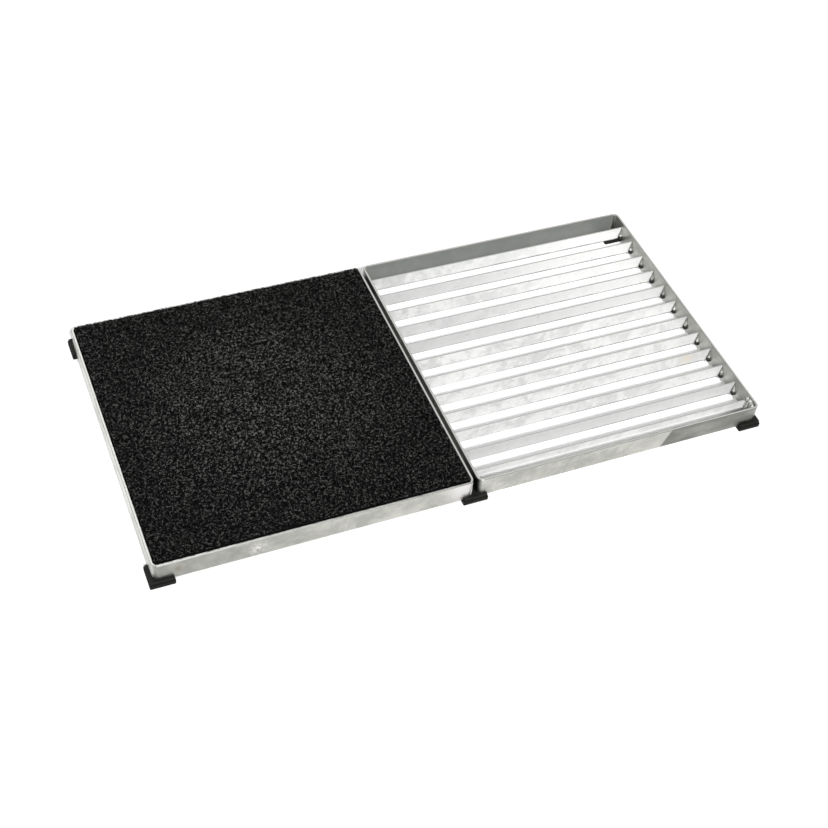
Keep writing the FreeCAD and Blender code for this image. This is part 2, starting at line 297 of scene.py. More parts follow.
class StageSettings(bpy.types.PropertyGroup):
    """Floor, light and camera."""

    floor: colour("Floor", "the floor", (0.85, 0.85, 0.85))
    floor_size: length("Floor size", "Width of the floor", 6.0)
    floor_white: share("Floor white", "How white the floor shows near the grate", 0.22)
    floor_far_white: share("Far floor white", "How white the floor shows at its far edge", 0.8)
    floor_near: length("Near floor", "Distance at which the floor starts to whiten", 0.8)
    floor_mirrored: share("Floor in reflections", "How white the floor shows in the metal", 0.1)
    sky: share("Sky", "Strength of the light from all round", 0.24)
    key_power: FloatProperty(name="Key light", description="Power of the lamp", default=700, unit="POWER")
    key_size: length("Key size", "Width of the lamp", 0.7)
    key_place: place("Key place", "Where it hangs, in front of the grate", (-0.6, -5.7, 5.8))
    fill_power: FloatProperty(name="Fill light", description="Power of the lamp", default=170, unit="POWER")
    fill_size: length("Fill size", "Width of the lamp", 3.0)
    fill_place: place("Fill place", "Where it hangs, behind the grate", (-2.0, 5.0, 6.0))
    camera_place: place("Camera place", "Where the camera stands", (-0.569028, -1.150768, 1.339263))
    camera_aim: place("Camera aim", "Point on the floor in the picture's middle", (-0.017583, -0.047664, 0.0))
    camera_roll: FloatProperty(
        name="Camera roll", description="Turn about its own axis",
        default=math.radians(6.385), subtype="ANGLE"
    )
    lens: FloatProperty(name="Lens", description="Focal length", default=62.414, unit="CAMERA")


class GrateSettings(bpy.types.PropertyGroup):
    """All settings of the grate."""

    frame_steel: PointerProperty(type=FrameSteelSettings, name="Frame steel", description="Finish of frames")
    slat_steel: PointerProperty(type=SlatSteelSettings, name="Slat steel", description="Finish of the slats")
    rubber: PointerProperty(type=RubberSettings, name="Rubber", description="Finish of the feet")
    welds: PointerProperty(type=WeldSettings, name="Welds", description="Sizes and colours of the welds")
    coil_mat: PointerProperty(type=CoilMatSettings, name="Coil mat", description="Looped filament mat")
    stage: PointerProperty(type=StageSettings, name="Stage", description="Floor, light and camera")


def feed(tree, socket, value):
    """Link an output to a socket, or set the socket to a plain value."""
    if isinstance(value, bpy.types.NodeSocket):
        tree.links.new(value, socket)
    else:
        socket.default_value = value


def add(tree, kind, inputs=None, **settings):
    """Add a node, set its options, and fill or link its inputs by name or number."""
    node = tree.nodes.new(kind)
    for option, value in settings.items():
        setattr(node, option, value)
    for socket, value in (inputs or {}).items():
        feed(tree, node.inputs[socket], value)
    return node


def maths(tree, operation, *values):
    """The result of a Math node."""
    return add(tree, "ShaderNodeMath", dict(enumerate(values)), operation=operation).outputs[0]


def product(tree, first, *others):
    """Values multiplied together."""
    for value in others:
        first = maths(tree, "MULTIPLY", first, value)
    return first


def layered(tree, *layers):
    """The sum of layers, each a value and its weight."""
    (value, weight), *others = layers
    total = maths(tree, "MULTIPLY", value, weight)
    for value, weight in others:
        total = maths(tree, "MULTIPLY_ADD", value, weight, total)
    return total


def vector_maths(tree, operation, *values):
    """The vector that a Vector Math node gives."""
    return add(tree, "ShaderNodeVectorMath", dict(enumerate(values)), operation=operation).outputs[0]


def axes(tree, vector):
    """The X, Y and Z of a vector."""
    return add(tree, "ShaderNodeSeparateXYZ", {0: vector}).outputs


def form(tree, kind, inputs=None):
    """What a geometry node gives."""
    return add(tree, "GeometryNode" + kind, inputs).outputs[0]


def ramp(tree, value, low, high, to_low=0.0, to_high=1.0):
    """A value mapped smoothly from one range to another, and held at its ends."""
    inputs = {"Value": value, 1: low, 2: high, 3: to_low, 4: to_high}
    return add(tree, "ShaderNodeMapRange", inputs, interpolation_type="SMOOTHSTEP").outputs[0]


def opaque(value):
    """A colour setting with full alpha; a socket is passed on."""
    return value if isinstance(value, bpy.types.NodeSocket) else (*value, 1.0)


def blend(tree, factor, first, second):
    """Two colours mixed by a factor."""
    inputs = {0: factor, 6: opaque(first), 7: opaque(second)}
    return add(tree, "ShaderNodeMix", inputs, data_type="RGBA").outputs[2]


def speckle(tree, spot, size, detail=3.0, roughness=0.55, distortion=0.0):
    """Noise whose patches are about as wide as size."""
    inputs = {
        "Vector": spot, "Scale": 1.0 / size, "Detail": detail, "Roughness": roughness,
        "Distortion": distortion,
    }
    return add(tree, "ShaderNodeTexNoise", inputs).outputs["Fac"]


def crystals(tree, spot, size):
    """A random grey for each crystal of about that size."""
    cells = add(tree, "ShaderNodeTexVoronoi", {"Vector": spot, "Scale": 1.0 / size})
    return add(tree, "ShaderNodeSeparateColor", {0: cells.outputs["Color"]}).outputs[0]


def stretched(tree, spot, factors):
    """Coordinates scaled by a factor along each axis."""
    return add(tree, "ShaderNodeMapping", {"Vector": spot, "Scale": factors}).outputs[0]


def nearness(tree, spot, centre, reach):
    """One at a point, falling to nought at a distance from it."""
    gap = add(tree, "ShaderNodeVectorMath", {0: spot, 1: centre}, operation="DISTANCE").outputs["Value"]
    return ramp(tree, gap, 0.0, reach, 1.0, 0.0)


def new_material(name):
    """A material with a Principled shader; gives it, its tree, the shader and the object coordinates."""
    material = bpy.data.materials.new(name)
    material.use_nodes = True
    tree = material.node_tree
    shader = tree.nodes["Principled BSDF"]
    spot = add(tree, "ShaderNodeTexCoord").outputs["Object"]
    return material, tree, shader, spot


def fill(tree, shader, **inputs):
    """Set or link the shader's inputs; words in their names are joined by underscores."""
    for words, value in inputs.items():
        feed(tree, shader.inputs[words.replace("_", " ")], value)


def bump(tree, height, distance, strength):
    """A surface normal raised by a height."""
    inputs = {"Height": height, "Distance": distance, "Strength": strength}
    return add(tree, "ShaderNodeBump", inputs).outputs[0]


def zinc_coat(tree, shader, spot, finish):
    """Zinc on steel: clouds, crystals, rolling lines and grain; gives the colour to be marked further."""
    clouds = speckle(tree, spot, finish.cloud, detail=5.0, roughness=0.62, distortion=0.6)
    spangle = crystals(tree, spot, finish.spangle)
    lines = speckle(tree, stretched(tree, spot, LINE_STRETCH), ROLLING_LINE, detail=2.0)
    fine = speckle(tree, spot, ZINC_GRAIN, detail=4.0)
    mixed = layered(
        tree, (ramp(tree, clouds, 0.34, 0.66), 0.55), (spangle, 0.22), (lines, 0.36), (fine, 0.34)
    )
    grain = maths(tree, "MULTIPLY_ADD", lines, 0.4, fine)
    dullest, brightest = finish.roughness + 0.09, finish.roughness - 0.05
    fill(
        tree, shader, Metallic=finish.metallic, Normal=bump(tree, grain, distance=0.00012, strength=0.6),
        Roughness=ramp(tree, mixed, 0.2, 1.0, dullest, brightest)
    )
    return blend(tree, ramp(tree, mixed, 0.35, 1.05), finish.dark, finish.light)


def facing(tree, axis):
    """How far the surface faces along an axis, from minus one to one."""
    return axes(tree, add(tree, "ShaderNodeNewGeometry").outputs["Normal"])[axis]


def level_face(tree, along, axis, where, side):
    """One on the flat face at a place along an axis that faces its plus or minus side; nought elsewhere."""
    near = maths(tree, "COMPARE", along[axis], where, FACE_NEAR)
    return product(tree, near, maths(tree, "COMPARE", facing(tree, axis), side, FACE_SLACK))


def outer_marks(tree, spot, along, finish, zinc):
    """Mark the outer faces: a painted dark reflection on the right end of the right frame's front bar,
    painted shade on the left end of the left frame's front bar, a painted sheen on the left outer face, a
    splash and a rust spot.
    """
    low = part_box("frame_left")[0]
    front = ramp(tree, along["Y"], low.y + SKIN, low.y + 3 * SKIN, 1.0, 0.0)
    # Painted dark reflection on the right end of the right frame's front bar, with a slanted border and
    # streaks
    border = maths(tree, "MULTIPLY_ADD", along["Z"], finish.dull_slant, finish.dull_start)
    past = ramp(tree, maths(tree, "SUBTRACT", along["X"], border), 0.0, finish.dull_border)
    dark_streaks = speckle(tree, stretched(tree, spot, DARK_STREAK_STRETCH), finish.dark_streak)
    dull = product(tree, front, past, ramp(tree, dark_streaks, 0.3, 0.75, 1.0, 0.45))
    zinc = blend(tree, dull, zinc, finish.dull)
    # Painted shade on the left end of the left frame's front bar
    left_end = ramp(tree, along["X"], low.x, low.x + finish.left_reach, finish.left_shade, 0.0)
    zinc = blend(tree, product(tree, front, left_end), zinc, finish.dull)
    # Painted sheen on the left outer face
    left_face = ramp(tree, along["X"], low.x + SKIN, low.x + 3 * SKIN, finish.left_face, 0.0)
    zinc = blend(tree, left_face, zinc, finish.ground)
    splash = nearness(tree, spot, low + Vector(finish.splash), finish.splash_reach)
    streaks = speckle(tree, spot, finish.streak, detail=4.0, distortion=1.5)
    splash = product(tree, splash, ramp(tree, streaks, 0.42, 0.58, 0.0, 0.9))
    zinc = blend(tree, splash, zinc, finish.ground)
    rusty = nearness(tree, spot, low + Vector(finish.rust_place), finish.rust_reach)
    return blend(tree, rusty, zinc, finish.rust)


def paint_gap_shade(tree, along, finish, zinc):
    """Paint shade on the bars that face each other across the gap, most of all at the front."""
    low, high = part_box("frame_left")
    wall = -high.x + GAP_SHADE_DEPTH
    right = ramp(tree, along["X"], wall, wall + GAP_SHADE_RIGHT, 1.0, 0.0)
    left = ramp(tree, along["X"], -wall - GAP_SHADE_LEFT, -wall)
    full, faded = (low.y + reach for reach in GAP_SHADE_BACK)
    back = ramp(tree, along["Y"], full, faded, 1.0, 0.35)
    # Painted shade, fullest at the front
    return blend(tree, product(tree, right, left, back), zinc, finish.gap_shade)


def inner_faces(tree, shader, along, finish, zinc):
    """Tone the inner faces: right and back bars darker, front bars pale, front and back less metallic."""
    low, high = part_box("frame_left")
    right = level_face(tree, along, "X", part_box("frame_right")[1].x - FRAME_BAR, -1.0)
    zinc = blend(tree, product(tree, right, finish.right_shade), zinc, finish.shaded)
    back = level_face(tree, along, "Y", high.y - FRAME_BAR, -1.0)
    zinc = blend(tree, product(tree, back, finish.back_shade), zinc, finish.shaded)
    inside = level_face(tree, along, "Y", low.y + FRAME_BAR, 1.0)
    matt = maths(tree, "MAXIMUM", back, inside)
    loss = -finish.matt * finish.metallic
    fill(tree, shader, Metallic=maths(tree, "MULTIPLY_ADD", matt, loss, finish.metallic))
    return blend(tree, inside, zinc, finish.inside)


def frame_zinc(finish):
    """The frames' zinc with its marks and the ground corner; the level upper faces get a painted light tone
    and the bevels painted shade.
    """
    material, tree, shader, spot = new_material("frame_zinc")
    along = axes(tree, spot)
    zinc = zinc_coat(tree, shader, spot, finish)
    zinc = outer_marks(tree, spot, along, finish, zinc)
    zinc = paint_gap_shade(tree, along, finish, zinc)
    zinc = inner_faces(tree, shader, along, finish, zinc)
    low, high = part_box("frame_left")
    corner = Vector((high.x, low.y, high.z)) + Vector(finish.ground_place)
    on_left = maths(tree, "LESS_THAN", along["X"], 0.0)
    ground = product(tree, nearness(tree, spot, corner, finish.ground_reach), on_left)
    zinc = blend(tree, ground, zinc, finish.ground)
    # Painted shade on the bevels, then a painted light tone on the level upper faces
    faces_up = facing(tree, "Z")
    zinc = blend(tree, ramp(tree, faces_up, *BEVEL_TURN), zinc, finish.bevel)
    fill(tree, shader, Base_Color=blend(tree, ramp(tree, faces_up, *LEVEL_TURN), zinc, finish.edge))
    return material


def slat_pitch():
    """Distance from one slat to the next."""
    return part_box("slat_right_02")[0].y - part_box("slat_right_01")[0].y


def slat_zinc(finish):
    """The slats' zinc: a tone for each slat, painted light towards the back right and on the first slat's
    lower part, a rust blush, dark specks, painted shade on the tops and a painted shade line along the lower
    edges.
    """
    material, tree, shader, spot = new_material("slat_zinc")
    along = axes(tree, spot)
    zinc = zinc_coat(tree, shader, spot, finish)
    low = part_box("slat_right_01")[0]
    pitch = slat_pitch()
    behind = maths(tree, "SUBTRACT", along["Y"], low.y - pitch / 2)
    number = maths(tree, "FLOOR", maths(tree, "DIVIDE", behind, pitch))
    draw = maths(tree, "ADD", number, finish.seed)
    tone = add(tree, "ShaderNodeTexWhiteNoise", {"W": draw}, noise_dimensions="1D").outputs["Value"]
    zinc = blend(tree, product(tree, tone, finish.uneven), zinc, finish.dark)
    # Painted light: paler zinc towards the back right
    painted_light_back = ramp(tree, along["Y"], *PAINTED_LIGHT_BACK, 0.2, 1.0)
    pale = product(tree, ramp(tree, along["X"], *PAINTED_LIGHT_ALONG), painted_light_back)
    zinc = blend(tree, pale, zinc, finish.pale)
    # Painted light on the first slat's lower part, where the front bar's shadow falls
    is_first = maths(tree, "COMPARE", number, 0.0, 0.5)
    first_slat_light = product(tree, is_first, ramp(tree, along["Z"], *FIRST_SLAT_LIGHT_TOP, 1.0, 0.0))
    zinc = blend(tree, first_slat_light, zinc, finish.pale)
    fourth_low, fourth_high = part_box("slat_right_04")
    corner = Vector((fourth_high.x, fourth_low.y, fourth_high.z))
    rusty = nearness(tree, spot, corner + Vector(finish.rust_place), finish.rust_reach)
    rust_grains = ramp(tree, speckle(tree, spot, finish.rust_grain), 0.35, 0.6, 0.3, 1.0)
    zinc = blend(tree, product(tree, rusty, rust_grains), zinc, finish.rust)
    specks = speckle(tree, stretched(tree, spot, SPECK_STRETCH), finish.speck)
    zinc = blend(tree, ramp(tree, specks, 0.66, 0.74, 0.0, 0.5), zinc, finish.edge)
    # Painted shade line along the lower edges, fainter towards the left
    waves = speckle(tree, spot, finish.line_wave)
    height = maths(tree, "MULTIPLY_ADD", waves, finish.shade_line, along["Z"])
    line_top = low.z + finish.shade_line
    lower_shade_line = ramp(tree, height, line_top, line_top + finish.shade_line / 2, 1.0, 0.0)
    lower_shade_line = product(tree, lower_shade_line, ramp(tree, along["X"], *SHADE_LINE_ALONG, 0.4, 1.0))
    zinc = blend(tree, lower_shade_line, zinc, finish.edge)
    # Painted shade on the upward-facing tops
    top = ramp(tree, facing(tree, "Z"), *TOP_SHADE_TURN)
    fill(tree, shader, Base_Color=blend(tree, top, zinc, finish.top))
    return material


def weld_metal(name, finish, ripples, scale, low_shade_top, face=0.0, pitch=0.0):
    """Rippled weld metal with scale, with painted shade at the lower end up to a height; with a pitch also
    painted shade beside each slat's face.
    """
    material, tree, shader, spot = new_material(name)
    lumps = speckle(tree, stretched(tree, spot, LUMP_STRETCH), finish.lump)
    metal = blend(tree, ramp(tree, lumps, 0.38, 0.64), scale, ripples)
    along = axes(tree, spot)
    if pitch:
        ahead = maths(tree, "FLOORED_MODULO", maths(tree, "SUBTRACT", face, along["Y"]), pitch)
        shade = ramp(tree, ahead, finish.shade / 2, finish.shade, 1.0, 0.0)
        metal = blend(tree, shade, metal, scale)
    # Painted shade: the lower end near black up to a height
    low_shade = ramp(tree, along["Z"], low_shade_top - finish.low_shade_fade, low_shade_top, 1.0, 0.0)
    fill(
        tree, shader, Base_Color=blend(tree, low_shade, metal, finish.low_shade), Metallic=0.3,
        Roughness=ramp(tree, lumps, *NOISE_SPAN, 0.6, 0.38),
        Normal=bump(tree, lumps, distance=0.0006, strength=0.8)
    )
    return material


def moulded_rubber(finish):
    """Dull moulded rubber with a fine grain and a pale bloom."""
    material, tree, shader, spot = new_material("moulded_rubber")
    grain = speckle(tree, spot, finish.grain, detail=2.0)
    patches = speckle(tree, spot, finish.patch, detail=4.0, roughness=0.65)
    bloom = product(tree, ramp(tree, patches, 0.35, 0.7), ramp(tree, grain, 0.3, 0.65, 0.4, 1.0))
    rough = ramp(tree, patches, *NOISE_SPAN, finish.roughness - 0.08, finish.roughness + 0.12)
    fill(
        tree, shader, Base_Color=blend(tree, bloom, finish.rubber, finish.bloom), Roughness=rough,
        Specular_IOR_Level=0.08, Normal=bump(tree, grain, distance=0.0002, strength=0.5)
    )
    return material


def plastic_filament(finish, centre, reach):
    """Black soft plastic, paler on the tops of the loops, partly from wear and dust and partly as painted
    light by height in the pile, and most of all in the trodden middle of the mat.
    """
    material, tree, shader, spot = new_material("plastic_filament")
    lift = add(tree, "ShaderNodeAttribute", attribute_name="lift").outputs["Fac"]
    streaks = speckle(tree, spot, finish.streak)
    patches = speckle(tree, spot, finish.patch)
    middle = nearness(tree, spot, centre, reach)
    # Paler tops: partly wear and dust, partly painted light by height in the pile
    worn_and_lit = product(
        tree, ramp(tree, lift, 0.5, 1.0), ramp(tree, streaks, 0.46, 0.6, 0.05, 1.0),
        ramp(tree, patches, *NOISE_SPAN, 0.7, 1.0), ramp(tree, middle, 0.0, 0.8, 0.55, 1.0)
    )
    fine = speckle(tree, spot, finish.grain, detail=2.0)
    fill(
        tree, shader, Base_Color=blend(tree, worn_and_lit, finish.filament, finish.worn_and_lit),
        Roughness=ramp(tree, fine, *NOISE_SPAN, 0.4, 0.58), Specular_IOR_Level=0.02,
        Normal=bump(tree, fine, distance=0.0001, strength=0.4)
    )
    return material


def matted_plastic(finish):
    """The tangle below the loose loops: the same plastic, too deep to catch much light."""
    material, tree, shader, spot = new_material("matted_plastic")
    strands = add(
        tree, "ShaderNodeTexVoronoi", {"Vector": spot, "Scale": 1.0 / (2 * finish.loop_radius)},
        feature="DISTANCE_TO_EDGE"
    ).outputs["Distance"]
    strand = ramp(tree, strands, 0.04, 0.22, 1.0, 0.0)
    fine = speckle(tree, spot, finish.base_grain)
    height = maths(tree, "MULTIPLY_ADD", fine, 0.3, strand)
    fill(
        tree, shader, Base_Color=blend(tree, strand, finish.gloom, finish.filament),
        Roughness=ramp(tree, fine, *NOISE_SPAN, 0.7, 0.9), Specular_IOR_Level=0.05,
        Normal=bump(tree, height, distance=0.0012, strength=0.8)
    )
    return material


def new_geometry_tree(name, inputs):
    """A geometry node tree with named inputs; gives the tree and its input sockets by name."""
    tree = bpy.data.node_groups.new(name, "GeometryNodeTree")
    tree.interface.new_socket("Geometry", in_out="INPUT", socket_type="NodeSocketGeometry")
    for label, kind in inputs:
        tree.interface.new_socket(label, in_out="INPUT", socket_type="NodeSocket" + kind)
    tree.interface.new_socket("Geometry", in_out="OUTPUT", socket_type="NodeSocketGeometry")
    return tree, add(tree, "NodeGroupInput").outputs


def finish_tree(tree, mesh, material):
    """End a tree: smooth faces, instances realized, material set."""
    smooth = form(tree, "SetShadeSmooth", {0: mesh})
    whole = form(tree, "RealizeInstances", {0: smooth})
    painted = form(tree, "SetMaterial", {"Geometry": whole, "Material": material})
    add(tree, "NodeGroupOutput", {"Geometry": painted})


def tube(tree, curve, radius, sides, scale=1.0):
    """A closed tube round a curve."""
    profile = form(tree, "CurvePrimitiveCircle", {"Resolution": sides, "Radius": radius})
    inputs = {"Curve": curve, "Profile Curve": profile, "Scale": scale, "Fill Caps": True}
    return form(tree, "CurveToMesh", inputs)


def line_on_points(tree, points, end, count):
    """A straight line of that many points from each point to an end beside it."""
    line = form(tree, "CurvePrimitiveLine", {"Start": (0.0, 0.0, 0.0), "End": end})
    line = form(tree, "ResampleCurve", {"Curve": line, "Count": count})
    lines = form(tree, "InstanceOnPoints", {"Points": points, "Instance": line})
    return form(tree, "RealizeInstances", {0: lines})


def wander(tree, curves, per_metre, detail, reach):
    """Shift the points of curves at random, alike where they lie close together."""
    spot = form(tree, "InputPosition")
    inputs = {"Vector": spot, "Scale": per_metre, "Detail": detail}
    field = add(tree, "ShaderNodeTexNoise", inputs).outputs["Color"]
    shift = vector_maths(tree, "SUBTRACT", field, (0.5, 0.5, 0.5))
    shift = add(tree, "ShaderNodeVectorMath", {0: shift, "Scale": reach}, operation="SCALE").outputs[0]
    return form(tree, "SetPosition", {"Geometry": curves, "Offset": shift})


def coil_tree():
    """Bent strands of filament thrown over a strip of the mat, leaning and sunk between its tufts."""
    tree, given = new_geometry_tree("Coil filaments", [
        ("Columns", "Int"), ("Lines", "Int"), ("Width", "Float"), ("Depth", "Float"),
        ("Middle", "Vector"), ("Scatter", "Vector"), ("Loop Radius", "Float"), ("Lean", "Float"),
        ("Kink", "Float"), ("Points", "Int"), ("Pile", "Float"), ("Filament Radius", "Float"),
        ("Tuft Corner", "Vector"), ("Tuft Pitch", "Vector"), ("Tuft Top", "Float"),
        ("Tuft Relief", "Float"), ("Last Tuft", "Float"), ("Lowest", "Vector"), ("Highest", "Vector"),
        ("Seed", "Int"), ("Material", "Material"),
    ])

    def draw(low, high, salt, kind="FLOAT_VECTOR"):
        seed = maths(tree, "ADD", given["Seed"], salt)
        first, output = (0, 0) if kind == "FLOAT_VECTOR" else (2, 1)
        inputs = {first: low, first + 1: high, "Seed": seed}
        return add(tree, "FunctionNodeRandomValue", inputs, data_type=kind).outputs[output]

    grid = form(tree, "MeshGrid", {
        "Size X": given["Width"], "Size Y": given["Depth"], "Vertices X": given["Columns"],
        "Vertices Y": given["Lines"],
    })
    back = vector_maths(tree, "MULTIPLY", given["Scatter"], (-1.0, -1.0, -1.0))
    thrown = draw(back, given["Scatter"], PLACE_DRAW)
    spots = form(tree, "SetPosition", {
        "Geometry": grid, "Offset": vector_maths(tree, "ADD", given["Middle"], thrown)
    })
    arch = form(tree, "CurveArc", {
        "Resolution": given["Points"], "Radius": given["Loop Radius"],
        "Start Angle": math.radians(90 - LOOP_SWEEP / 2), "Sweep Angle": math.radians(LOOP_SWEEP),
    })
    drop = product(tree, given["Loop Radius"], -1.0)
    lowered = add(tree, "ShaderNodeCombineXYZ", {"Z": drop}).outputs[0]
    upright = {"Geometry": arch, "Translation": lowered, "Rotation": (math.pi / 2, 0.0, 0.0)}
    arch = form(tree, "Transform", upright)
    lean_back = product(tree, given["Lean"], -1.0)
    turned_least = add(tree, "ShaderNodeCombineXYZ", {"X": lean_back, "Y": lean_back}).outputs[0]
    turned_most = add(tree, "ShaderNodeCombineXYZ", {
        "X": given["Lean"], "Y": given["Lean"], "Z": FULL_TURN
    }).outputs[0]
    strands = form(tree, "InstanceOnPoints", {
        "Points": spots, "Instance": arch, "Rotation": draw(turned_least, turned_most, TURN_DRAW),
        "Scale": draw(*LOOP_SIZES, SIZE_DRAW, "FLOAT"),
    })
    strands = form(tree, "RealizeInstances", {0: strands})
    strands = wander(tree, strands, KINKS_PER_METRE, 1.0, given["Kink"])

    spot = form(tree, "InputPosition")
    depth = maths(tree, "SUBTRACT", axes(tree, given["Highest"])["Z"], axes(tree, spot)["Z"])
    lift = maths(tree, "SUBTRACT", 1.0, maths(tree, "DIVIDE", depth, given["Pile"]))
    strands = form(tree, "StoreNamedAttribute", {"Geometry": strands, "Name": "lift", "Value": lift})
    inward = axes(tree, vector_maths(tree, "SUBTRACT", spot, given["Tuft Corner"]))
    pitches = axes(tree, given["Tuft Pitch"])

    def dip(axis):
        tuft = maths(tree, "DIVIDE", inward[axis], pitches[axis])
        tuft = maths(tree, "MAXIMUM", maths(tree, "MINIMUM", tuft, given["Last Tuft"]), 0.5)
        away = product(tree, maths(tree, "PINGPONG", tuft, 0.5), pitches[axis])
        half_width = maths(tree, "DIVIDE", maths(tree, "SUBTRACT", pitches[axis], given["Tuft Top"]), 2.0)
        return ramp(tree, away, 0.0, half_width, 1.0, 0.0)

    fall = product(tree, maths(tree, "MAXIMUM", dip("X"), dip("Y")), given["Tuft Relief"])
    sunk = vector_maths(tree, "SUBTRACT", spot, add(tree, "ShaderNodeCombineXYZ", {"Z": fall}).outputs[0])
    kept = vector_maths(tree, "MAXIMUM", sunk, given["Lowest"])
    kept = vector_maths(tree, "MINIMUM", kept, given["Highest"])
    strands = form(tree, "SetPosition", {"Geometry": strands, "Position": kept})
    finish_tree(tree, tube(tree, strands, given["Filament Radius"], FILAMENT_SIDES), given["Material"])
    return tree


def weld_tree():
    """A rippled weld bead from each point of the mesh to a smaller head above it."""
    tree, given = new_geometry_tree("Weld beads", [
        ("Rise", "Vector"), ("Radius", "Float"), ("Head", "Float"), ("Ripple", "Float"), ("Lumps", "Float"),
        ("Points", "Int"), ("Material", "Material"),
    ])
    beads = line_on_points(tree, given["Geometry"], given["Rise"], given["Points"])
    beads = wander(tree, beads, BENDS_PER_METRE, 2.0, given["Lumps"])
    spline = add(tree, "GeometryNodeSplineParameter").outputs
    turns = maths(tree, "DIVIDE", spline["Length"], given["Ripple"])
    wave = maths(tree, "SINE", product(tree, turns, FULL_TURN))
    taper = ramp(tree, spline["Factor"], 0.0, 1.0, 1.0, given["Head"])
    rounded = ramp(tree, maths(tree, "PINGPONG", spline["Factor"], 0.5), 0.0, 0.06, 0.55, 1.0)
    rippled = maths(tree, "MULTIPLY_ADD", wave, 0.1, 1.0)
    scale = product(tree, taper, rounded, rippled)
    finish_tree(tree, tube(tree, beads, given["Radius"], BEAD_SIDES, scale), given["Material"])
    return tree


def grow(name, tree, values, points=()):
    """Run a geometry node tree on a mesh of points, and keep the result as a plain mesh."""
    source = bpy.data.meshes.new(name + "_points")
    source.from_pydata(points, [], [])
    piece = bpy.data.objects.new(name, source)
    bpy.context.scene.collection.objects.link(piece)
    modifier = piece.modifiers.new("Nodes", "NODES")
    modifier.node_group = tree
    for socket in tree.interface.items_tree:
        if socket.in_out == "INPUT" and socket.name in values:
            modifier[socket.identifier] = values[socket.name]
    evaluated = piece.evaluated_get(bpy.context.evaluated_depsgraph_get())
    made = bpy.data.meshes.new_from_object(evaluated)
    if not made.polygons:
        raise RuntimeError(name + " came out empty")
    piece.modifiers.clear()
    piece.data = made
    made.name = name
    bpy.data.meshes.remove(source)
    return piece


def settle(piece):
    """Let a finished piece ride with the grate."""
    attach(piece, BODY)


def paint(nodes, material):
    """Give CAD pieces a material in place of their plain one."""
    for node in nodes:
        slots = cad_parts[node].material_slots
        if not slots:
            raise RuntimeError(node + " has no material slot")
        for slot in slots:
            slot.material = material


def nodes_of(kind):
    """Names of the CAD pieces whose name starts with a word, in order."""
    found = sorted(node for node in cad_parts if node.startswith(kind + "_"))
    if not found:
        raise RuntimeError("no piece is named " + kind)
    return found


class FinishFrames(bpy.types.Operator):
    """Give both frames their smooth zinc finish"""

    bl_idname = "mat_grate.finish_frames"
    bl_label = "Finish Frames"

    def execute(self, context):
        paint(nodes_of("frame"), frame_zinc(context.scene.mat_grate.frame_steel))
        return {"FINISHED"}


class FinishSlats(bpy.types.Operator):
    """Give the slats their bright matt zinc finish"""

    bl_idname = "mat_grate.finish_slats"
    bl_label = "Finish Slats"

    def execute(self, context):
        paint(nodes_of("slat"), slat_zinc(context.scene.mat_grate.slat_steel))
        return {"FINISHED"}


class FinishFeet(bpy.types.Operator):
    """Give the feet their moulded rubber finish"""

    bl_idname = "mat_grate.finish_feet"
    bl_label = "Finish Feet"

    def execute(self, context):
        paint(nodes_of("foot"), moulded_rubber(context.scene.mat_grate.rubber))
        return {"FINISHED"}


class WeldSlats(bpy.types.Operator):
    """Weld both ends of every slat to the side bars, in the corner in front of the slat"""

    bl_idname = "mat_grate.weld_slats"
    bl_label = "Weld Slats"

    def execute(self, context):
        settings = context.scene.mat_grate.welds
        tree = weld_tree()
        low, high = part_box("slat_right_01")
        material = weld_metal(
            "slat_weld", settings, settings.metal, settings.scale, low.z + settings.low_shade_height,
            low.y, slat_pitch()
        )
        margin = FOOT_MARGIN * settings.foot_radius
        rise = high.z - low.z - END_MARGINS * margin
        shrink = 1.0 - settings.head
        for side in SIDES:
            for end, inward in (("left", 1), ("right", -1)):
                across = inward * settings.foot_across
                points = []
                for slat in nodes_of("slat_" + side):
                    low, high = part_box(slat)
                    bar = low.x if end == "left" else high.x
                    points.append((bar + across, low.y - settings.foot_ahead, low.z + margin))
                values = {
                    "Rise": (-shrink * across, shrink * settings.foot_ahead, rise),
                    "Radius": settings.foot_radius, "Head": settings.head, "Ripple": settings.ripple,
                    "Lumps": settings.lumps, "Points": WELD_POINTS, "Material": material,
                }
                settle(grow("slat_welds_%s_%s_ends" % (side, end), tree, values, points))
        return {"FINISHED"}


class WeldFrames(bpy.types.Operator):
    """Close each frame with a seam: ground outside the left one's corner, rough inside the right one's"""

    bl_idname = "mat_grate.weld_frames"
    bl_label = "Weld Frames"

    def execute(self, context):
        settings = context.scene.mat_grate.welds
        tree = weld_tree()
        for side, steps, shorter, lumps in SEAMS:
            low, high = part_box("frame_" + side)
            corner = Vector((high.x, low.y, low.z))
            feet = [corner + Vector(step) for step in steps]
            name = "frame_seam_" + side
            values = {
                "Rise": (0.0, 0.0, high.z - low.z - shorter), "Radius": settings.seam_radius,
                "Head": settings.seam_head, "Ripple": settings.ripple, "Lumps": lumps, "Points": SEAM_POINTS,
                "Material": weld_metal(name, settings, settings.seam_metal, settings.seam_scale, feet[0].z),
            }
            settle(grow(name, tree, values, feet))
        return {"FINISHED"}


